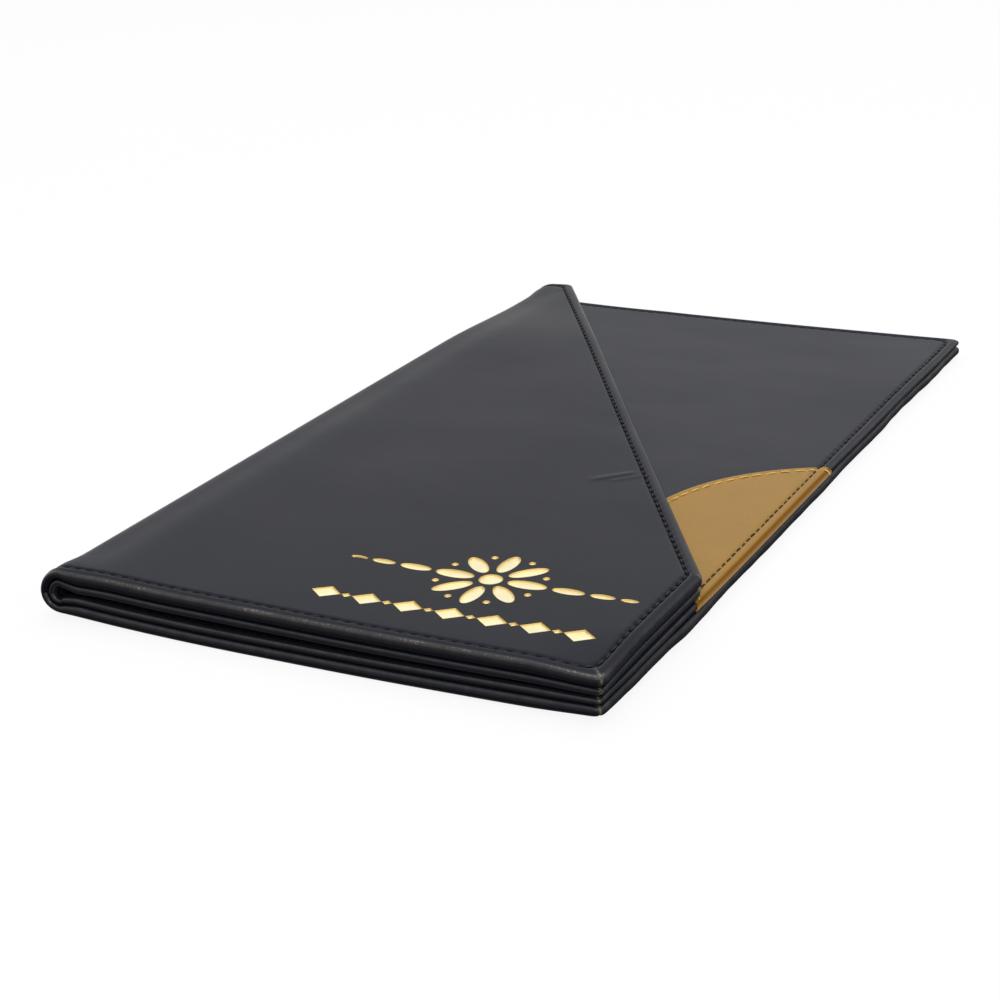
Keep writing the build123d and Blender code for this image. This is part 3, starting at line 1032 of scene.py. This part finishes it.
def foil_finish(name, colour, wall):
    """Bright hot-stamped foil over the grain of the leatherette, its recess walls painted a darker gold
    as shade.
    """
    graph = Graph(name)
    grain = graph.noise(1400, 3, 0.6)
    cloud = graph.noise(220, 2)
    return graph.finish(
        Base_Color=graph.tint(graph.blend(graph.attribute("wall"), colour, wall), 0.9 + cloud * 0.2),
        Metallic=1.0,
        Roughness=0.3 + cloud * 0.16,
        Normal=graph.bump(grain, 0.06 * MM, 0.35),
    )


def fibre_finish(name, colour, scale):
    """Matte board, card or foam."""
    graph = Graph(name)
    fibres = graph.noise(scale, 4, 0.7, (1, 3, 1))
    return graph.finish(
        Base_Color=graph.tint(colour, 0.8 + fibres * 0.4),
        Roughness=0.9,
        Normal=graph.bump(fibres, 0.1 * MM, 0.5),
    )


# What makes each slot's finish: its colours, then its further values
FINISHES = {
    "cover_leather": (leatherette, ("leather", "worn_and_highlight_colour"), {"gloss": 0.4, "sheen": 0.094}),
    "lining_leather": (leatherette, ("lining", "worn_and_highlight_colour"), {"gloss": 0.42, "sheen": 0.132}),
    "accent_leather": (accent_leather, ("accent", "crease"), {}),
    "thread": (thread_finish, ("thread",), {}),
    "accent_thread": (thread_finish, ("accent_thread",), {}),
    "foil": (foil_finish, ("foil", "foil_wall"), {}),
    "board": (fibre_finish, ("board",), {"scale": 900}),
    "card": (fibre_finish, ("card",), {"scale": 1200}),
    "foam": (fibre_finish, ("foam",), {"scale": 1500}),
}


def finish_of(slot):
    """The finish of a slot, made the first time that a piece wants it."""
    name = "presenter_" + slot
    known = bpy.data.materials.get(name)
    if known:
        return known
    make, names, values = FINISHES[slot]
    colours = (getattr(bpy.context.scene.presenter_colours, colour) for colour in names)
    return make(name, *colours, **values)


# Operators


def build_leaf(half, name, nodes, lining):
    """A cover or a panel with its half of the spine."""
    leaf = Leaf(half, lining)
    bm = wrapped_leaf(leaf)
    if not lining:
        if isinstance(half, FlapHalf):
            stamp_recesses(bm, half)
        for crease in half.creases:
            margin = Vector((2 * crease.width, 2 * crease.width))
            low = Vector(map(min, crease.start, crease.end)) - margin
            high = Vector(map(max, crease.start, crease.end)) + margin
            refine(bm, low, high, 0.5 * crease.width)
    dress(bm, leaf, rim_seam(half))
    slot = "lining_leather" if lining else "cover_leather"
    add_piece(bm, name, slot, nodes, half, bent=True, lining=lining)


def build_seam(half, name, nodes, lining):
    """The stitches of a cover or a panel, round the rim and round the fold."""
    sizes = half.sizes
    up = 1 if lining else -1
    face = half.depth if lining else 0.0
    seat = face - up * (sizes.seam_sink - 0.36 * sizes.thread)
    bm = sew(sizes, rim_seam(half), seat, up, seed=len(name))
    if lining and isinstance(half, BackHalf):
        accent = Accent(half)
        for vert in bm.verts:
            if accent.covers(vert.co.xy):
                vert.co.z += sizes.accent_sheet
    fold_mesh(bm, half, lining)
    add_piece(bm, name, "thread", nodes, half, bent=True, lining=lining)


def stamp_outlines(half):
    """The ornament's outlines, from the foil's outer faces, as flat faces of their own."""
    bm = node_mesh(half, "foil_ornament")
    heights = [vert.co.z for vert in bm.verts]
    middle = (min(heights) + max(heights)) / 2
    hidden = [face for face in bm.faces if max(vert.co.z for vert in face.verts) > middle]
    bmesh.ops.delete(bm, geom=hidden, context="FACES")
    bmesh.ops.dissolve_limit(bm, angle_limit=radians(1), verts=bm.verts[:], edges=bm.edges[:])
    return bm


def stamp_recesses(bm, half):
    """Presses the ornament's outlines into the flat cover."""
    low, high = half.stamp
    rule(bm, ACROSS, (low.x, high.x), (FIELD,))
    rule(bm, ALONG, (low.y, high.y), (FIELD,))
    bmesh.ops.delete(bm, geom=field_inside(bm, low, high), context="FACES")

    shapes = stamp_outlines(half)
    for vert in shapes.verts:
        vert.co.z = half.cover
    for face in shapes.faces:
        face.material_index = STAMP
    flat = bpy.data.meshes.new("stamp")
    shapes.to_mesh(flat)
    shapes.free()
    bm.from_mesh(flat)
    bpy.data.meshes.remove(flat)
    stamps = [face for face in bm.faces if face.material_index == STAMP]
    for face in stamps:
        if face.normal.z < 0:
            face.normal_flip()
    rims = [edge for edge in bm.edges if edge.is_boundary]
    bmesh.ops.triangle_fill(bm, use_beauty=True, edges=rims, normal=(0, 0, 1))
    for edge in rims:
        if any(face in stamps for face in edge.link_faces):
            edge.smooth = False
    step_in(bm, stamps, stamp_section(half))


def stamp_section(half):
    """Steps from the field down a stamped recess's wall to its floor."""
    return [(LIP, -LIP), (WALL, LIP - half.stamp_depth)]


class Accent:
    """The round patch that is sewn on the back panel and turned round its opening edge."""

    lower_share = 0.76
    tucked = radians(60)

    def __init__(self, half):
        sizes = half.sizes
        self.half = half
        self.centre = Vector((REACH + sizes.accent_overhang, NEAR + sizes.accent_middle))
        self.start = REACH - PANEL_INSET - sizes.panel_roll
        self.roll = sizes.panel_roll
        self.lower_roll = self.lower_share * self.roll
        self.turned = (self.roll + sizes.accent_sheet) * pi / 2
        self.side = half.depth - half.cover - 2 * self.roll
        self.end = self.start + self.turned + self.side
        self.end += (self.lower_roll + sizes.accent_sheet) * self.tucked

    def covers(self, point):
        """True where the patch lies over the panel."""
        return (point - self.centre).length < self.half.sizes.accent_radius

    def lay(self, u, v, height):
        """Carries a point of the unrolled patch, at a height over the panel, to the row frame."""
        half = self.half
        sizes = half.sizes
        along = u - self.start
        if along <= 0:
            pressed = half.press(REACH - u) * ramp(along, 0, -0.4 * MM)
            return half.fold((u, v, half.depth + height + pressed), True)
        if along < self.turned:
            turn = along / self.turned * pi / 2
            radius = self.roll + height
            u = self.start + radius * sin(turn)
            w = half.depth - self.roll + radius * cos(turn)
            return half.fold((u, v, w), True)
        along -= self.turned
        u = self.start + self.roll + height
        if along < self.side:
            return half.fold((u, v, half.depth - self.roll - along), True)
        radius = self.lower_roll + height
        turn = (along - self.side) / (self.lower_roll + sizes.accent_sheet)
        u -= radius * (1 - cos(turn))
        return half.fold((u, v, half.cover + self.roll - radius * sin(turn)), True)


def groove(distance, sizes, seam):
    """Height of a sewn sheet by the distance from its edge: rounded there, pulled in at the seam."""
    short = max(0.0, 1 - distance / sizes.pocket_edge)
    edge = sizes.pocket_edge * (1 - sqrt(max(0.0, 1 - short * short)))
    return -edge - GROOVE_DEPTH * bell(distance - seam, GROOVE_WIDTH)


class PRESENTER_OT_covers(bpy.types.Operator):
    """Build the outer leatherette of both halves, each with its half of the spine."""

    bl_idname = "presenter.covers"
    bl_label = "Build covers"

    def execute(self, context):
        sizes = context.scene.presenter_sizes
        build_leaf(BackHalf(sizes), "back_cover", ("back_cover_skin", "spine_skin"), False)
        build_leaf(FlapHalf(sizes), "flap_cover", ("front_cover_skin", "spine_skin"), False)
        return {"FINISHED"}


class PRESENTER_OT_panels(bpy.types.Operator):
    """Build the inner panels of both halves, each with its half of the spine's lining."""

    bl_idname = "presenter.panels"
    bl_label = "Build panels"

    def execute(self, context):
        sizes = context.scene.presenter_sizes
        build_leaf(BackHalf(sizes), "back_panel", ("back_panel_skin", "spine_lining"), True)
        build_leaf(FlapHalf(sizes), "flap_panel", ("front_panel_skin", "spine_lining"), True)
        return {"FINISHED"}


class PRESENTER_OT_seams(bpy.types.Operator):
    """Sew the rims of the covers and the panels, stitch by stitch."""

    bl_idname = "presenter.seams"
    bl_label = "Sew rims"

    def execute(self, context):
        sizes = context.scene.presenter_sizes
        back = BackHalf(sizes)
        flap = FlapHalf(sizes)
        build_seam(back, "back_cover_stitches", ("back_outer_thread", "spine_outer_thread"), False)
        build_seam(back, "back_panel_stitches", ("back_inner_thread", "spine_inner_thread"), True)
        build_seam(flap, "flap_cover_stitches", ("front_outer_thread", "spine_outer_thread"), False)
        build_seam(flap, "flap_panel_stitches", ("front_inner_thread", "spine_inner_thread"), True)
        return {"FINISHED"}


class PRESENTER_OT_accent(bpy.types.Operator):
    """Sew the round accent patch over the back panel's opening edge."""

    bl_idname = "presenter.accent"
    bl_label = "Sew accent"

    def execute(self, context):
        sizes = context.scene.presenter_sizes
        half = BackHalf(sizes)
        accent = Accent(half)
        seam = self.seam(accent)
        bm = self.flat_patch(accent)
        holes = needle_holes(seam)
        for vert in bm.verts:
            plan = vert.co.xy
            distance = sizes.accent_radius - (plan - accent.centre).length
            vert.co.z = sizes.accent_sheet + groove(distance, sizes, sizes.accent_seam)
            vert.co.z -= ACCENT_DIMPLE * bell(holes.find((*plan, 0))[2], PRESS_WIDTH)
        bmesh.ops.solidify(bm, geom=bm.faces[:], thickness=SHEET)
        crease = bm.verts.layers.float.new("crease")
        for vert in bm.verts:
            around = vert.co.x - accent.start - sizes.accent_crease
            # Painted shade on the roll: a dark band at the crease and a darker turn past it; the press
            # below is real
            vert[crease] = max(0.9 * bell(around, ROLL_SHADE_WIDTH), 0.6 * ramp(around, 0.9 * MM, 1.7 * MM))
            vert.co.z -= ACCENT_PRESS * bell(around, PRESS_WIDTH)
            vert.co = accent.lay(*vert.co)
        add_piece(bm, "accent_leather_patch", "accent_leather", ["accent_patch"], half)

        bm = sew(sizes, seam, sizes.accent_sheet + 0.02 * MM, 1, seed=4)
        for vert in bm.verts:
            vert.co = accent.lay(*vert.co)
        add_piece(bm, "accent_stitches", "accent_thread", ["accent_thread"], half)
        return {"FINISHED"}

    def flat_patch(self, accent):
        """The patch unrolled, with lines of mesh along its edge, its seam, the rim seam and the roll."""
        bm = bmesh.new()
        ray = Vector((-cos(ACCENT_SPREAD), -sin(ACCENT_SPREAD)))
        points = []
        for ring in ACCENT_RINGS:
            point = accent.centre + (accent.half.sizes.accent_radius - ring * MM) * ray
            points.append(bm.verts.new((*point, 0)))
        chain = [bm.edges.new(pair) for pair in zip(points, points[1:])]
        bmesh.ops.spin(
            bm, geom=points + chain, cent=(*accent.centre, 0), axis=(0, 0, -1),
            angle=2 * ACCENT_SPREAD, steps=150,
        )
        turns = [accent.start + accent.turned * step / 12 for step in range(13)]
        below = accent.start + accent.turned + accent.side
        under = [mix(below, accent.end, step / 4) for step in range(4)]
        rule(bm, ACROSS, [REACH - line * MM for line in ACCENT_LINES] + turns + under)
        plane_cut(bm, bm.faces, ACROSS, accent.end, clear_outer=True)
        face_up(bm)
        return bm

    def seam(self, accent):
        """The stitches along the patch's curve, from under one end of the roll to the other."""
        sizes = accent.half.sizes
        radius = sizes.accent_radius - sizes.accent_seam
        path = []
        for step in range(601):
            angle = mix(-ACCENT_SPREAD, ACCENT_SPREAD, step / 600)
            point = accent.centre - radius * Vector((cos(angle), sin(angle)))
            if point.x < accent.end - 0.5 * MM:
                path.append(point)
        return stations(path, sizes.accent_stitch, sizes.stitch_length * 1.2)


class PRESENTER_OT_pocket(bpy.types.Operator):
    """Sew the card pocket on the back panel, open towards the far end."""

    bl_idname = "presenter.pocket"
    bl_label = "Sew pocket"

    def execute(self, context):
        sizes = context.scene.presenter_sizes
        half = BackHalf(sizes)
        low, high = half.extent("bill_pocket")
        above = high.y + 4 * MM
        bm = bmesh.new()
        corners = [(low.x, low.y), (high.x, low.y), (high.x, above), (low.x, above)]
        face = bm.faces.new([bm.verts.new((*corner, 0)) for corner in corners])
        step_in(bm, [face], [((far - near) * MM, 0) for near, far in zip(POCKET_RINGS, POCKET_RINGS[1:])])
        rule(bm, ALONG, spread(low.y, high.y, 2 * MM))
        rule(bm, ACROSS, spread(low.x, high.x, 4 * MM))
        plane_cut(bm, bm.faces, ALONG, high.y, clear_outer=True)
        face_up(bm)
        for vert in bm.verts:
            distance = min(vert.co.x - low.x, high.x - vert.co.x, vert.co.y - low.y)
            vert.co.z = high.z + groove(distance, sizes, sizes.pocket_seam)
        bmesh.ops.solidify(bm, geom=bm.faces[:], thickness=SHEET)
        fold_mesh(bm, half, lining=True)
        add_piece(bm, "card_pocket", "lining_leather", ["bill_pocket"], half)

        left = low.x + sizes.pocket_seam
        right = high.x - sizes.pocket_seam
        bottom = low.y + sizes.pocket_seam
        places = ((left, high.y), (left, bottom), (right, bottom), (right, high.y))
        path = [Vector(place) for place in places]
        seam = stations(path, sizes.stitch_pitch, sizes.stitch_length, 0.5 * MM)
        bm = sew(sizes, seam, high.z - 0.05 * MM, 1, seed=7)
        fold_mesh(bm, half, lining=True)
        add_piece(bm, "pocket_stitches", "thread", ["pocket_thread"], half)
        return {"FINISHED"}


class PRESENTER_OT_ornament(bpy.types.Operator):
    """Line the stamped ornament with foil."""

    bl_idname = "presenter.ornament"
    bl_label = "Lay foil"

    def execute(self, context):
        sizes = context.scene.presenter_sizes
        half = FlapHalf(sizes)
        slip = 0.03 * MM
        bm = stamp_outlines(half)
        for vert in bm.verts:
            vert.co.z = 0.0
        for face in bm.faces:
            if face.normal.z > 0:
                face.normal_flip()
        lip, wall = stamp_section(half)
        floor = [(0.1 * MM, 0), (0.07 * MM, 0.05 * MM)]
        step_in(bm, bm.faces[:], [(slip, 0), lip, (wall[0], wall[1] + slip), *floor])
        outer = [face for face in bm.faces if any(edge.is_boundary for edge in face.edges)]
        bmesh.ops.delete(bm, geom=outer, context="FACES")
        for edge in bm.edges:
            edge.smooth = len(edge.link_faces) < 2 or edge.calc_face_angle(0) < radians(20)
        bmesh.ops.solidify(bm, geom=bm.faces[:], thickness=FOIL)
        # Marks the walls for the darker gold of painted shade
        walls = bm.verts.layers.float.new("wall")
        for vert in bm.verts:
            vert[walls] = ramp(vert.co.z / half.stamp_depth, 0.75, 0.55)
        fold_mesh(bm, half)
        add_piece(bm, "foil_ornament_cups", "foil", ["foil_ornament"], half)
        return {"FINISHED"}


class PRESENTER_OT_boards(bpy.types.Operator):
    """Lay the boards, the cards and the padding inside the leatherette."""

    bl_idname = "presenter.boards"
    bl_label = "Lay boards"

    def execute(self, context):
        sizes = context.scene.presenter_sizes
        back = BackHalf(sizes)
        flap = FlapHalf(sizes)
        self.lay(back, "back_cover_board", "back_board", "board", False)
        self.lay(flap, "front_cover_board", "flap_board", "board", False)
        self.lay(back, "back_panel_card", "back_card", "card", True)
        self.lay(flap, "front_panel_card", "flap_card", "card", True)
        self.lay(flap, "front_cover_padding", "flap_padding", "foam", False)
        return {"FINISHED"}

    def lay(self, half, node, name, slot, lining):
        """One sheet, cut fine enough to follow the leatherette round it."""
        bm = node_mesh(half, node)
        rule(bm, ACROSS, spread(0, REACH, half.sizes.cell))
        rule(bm, ALONG, spread(NEAR, FAR, half.sizes.cell))
        fold_mesh(bm, half, lining)
        piece = add_piece(bm, name, slot, [node], half)
        for face in piece.data.polygons:
            face.use_smooth = False


CAMERA_PLACE = Vector((0.21317, -0.44457, 0.18464))
CAMERA_AZIMUTH = radians(27.523)
CAMERA_ELEVATION = radians(21.35)
CAMERA_ROLL = radians(-2.193)
CAMERA_LENS = 75.344


class PRESENTER_OT_stage(bpy.types.Operator):
    """Set the floor, the soft studio light and the camera."""

    bl_idname = "presenter.stage"
    bl_label = "Set stage"

    def execute(self, context):
        scene = context.scene
        white = (1, 1, 1, 1)
        graph = Graph("stage_floor")
        shown = self.seen_rays(graph)
        colour = (*scene.presenter_colours.floor, 1)
        lit = graph.node("ShaderNodeBsdfDiffuse", None, {"Color": colour})
        glow = graph.node("ShaderNodeEmission", None, {"Color": white, "Strength": 1.0})
        shader = graph.node("ShaderNodeMixShader", None, {0: shown * 0.9, 1: lit, 2: glow})
        graph.node("ShaderNodeOutputMaterial", None, {"Surface": shader})
        bm = bmesh.new()
        bmesh.ops.create_grid(bm, x_segments=1, y_segments=1, size=3)
        finish_mesh(bm, "floor", graph.block)

        graph = Graph("studio", "worlds")
        shown = self.seen_rays(graph)
        sky = graph.node("ShaderNodeBackground", None, {"Color": white, "Strength": 0.45})
        paper = graph.node("ShaderNodeBackground", None, {"Color": white, "Strength": 1.0})
        shader = graph.node("ShaderNodeMixShader", None, {0: shown, 1: sky, 2: paper})
        graph.node("ShaderNodeOutputWorld", None, {"Surface": shader})
        scene.world = graph.block

        self.light("overhead", (-0.1, 0.25, 1.5), size=1.4, power=15)
        self.light("side", (1.1, -0.5, 0.9), size=0.7, power=3)
        self.light("front", (0.35, -0.95, 0.75), size=0.4, power=2)
        self.camera(scene)
        return {"FINISHED"}

    def seen_rays(self, graph):
        """1 for rays that should see the white background."""
        camera, glossy, through = (
            graph.node("ShaderNodeLightPath", None, None, name)
            for name in ("Is Camera Ray", "Is Glossy Ray", "Is Transmission Ray")
        )
        either = graph.node("ShaderNodeMath", {"operation": "MAXIMUM"}, {0: camera, 1: glossy})
        return graph.node("ShaderNodeMath", {"operation": "MAXIMUM"}, {0: either, 1: through})

    def light(self, name, place, size, power):
        """A square soft light that faces the presenter."""
        data = bpy.data.lights.new(name, "AREA")
        data.shape = "SQUARE"
        data.size = size
        data.energy = power
        lamp = bpy.data.objects.new(name, data)
        lamp.location = place
        lamp.rotation_mode = "QUATERNION"
        lamp.rotation_quaternion = (-Vector(place)).to_track_quat("-Z", "Y")
        bpy.context.scene.collection.objects.link(lamp)

    def camera(self, scene):
        """The camera looks down over the opening edge at the near corner."""
        data = bpy.data.cameras.new("camera")
        data.lens = CAMERA_LENS
        data.sensor_width = 36
        data.clip_start = 0.01
        camera = bpy.data.objects.new("camera", data)
        camera.matrix_world = (
            Matrix.Translation(CAMERA_PLACE)
            @ Matrix.Rotation(CAMERA_AZIMUTH, 4, "Z")
            @ Matrix.Rotation(pi / 2 - CAMERA_ELEVATION, 4, "X")
            @ Matrix.Rotation(CAMERA_ROLL, 4, "Z")
        )
        scene.collection.objects.link(camera)
        scene.camera = camera
        scene.view_settings.view_transform = "Standard"


OPERATORS = (
    PRESENTER_OT_covers,
    PRESENTER_OT_panels,
    PRESENTER_OT_seams,
    PRESENTER_OT_accent,
    PRESENTER_OT_pocket,
    PRESENTER_OT_ornament,
    PRESENTER_OT_boards,
    PRESENTER_OT_stage,
)


class PRESENTER_PT_build(bpy.types.Panel):
    """Lists the steps that build the presenter."""

    bl_idname = "PRESENTER_PT_build"
    bl_label = "Check presenter"
    bl_space_type = "VIEW_3D"
    bl_region_type = "UI"
    bl_category = "Presenter"

    def draw(self, context):
        for operator in OPERATORS:
            self.layout.operator(operator.bl_idname)


CLASSES = (PresenterSizes, PresenterColours, *OPERATORS, PRESENTER_PT_build)


def register():
    """Adds the sizes, the colours, the operators and the panel."""
    for item in CLASSES:
        bpy.utils.register_class(item)
    bpy.types.Scene.presenter_sizes = PointerProperty(type=PresenterSizes)
    bpy.types.Scene.presenter_colours = PointerProperty(type=PresenterColours)


def unregister():
    """Removes what register added."""
    del bpy.types.Scene.presenter_colours
    del bpy.types.Scene.presenter_sizes
    for item in reversed(CLASSES):
        bpy.utils.unregister_class(item)


def main():
    """Builds every piece in order."""
    register()
    for operator in OPERATORS:
        group, name = operator.bl_idname.split(".")
        getattr(getattr(bpy.ops, group), name)()


if __name__ == "__main__":
    main()
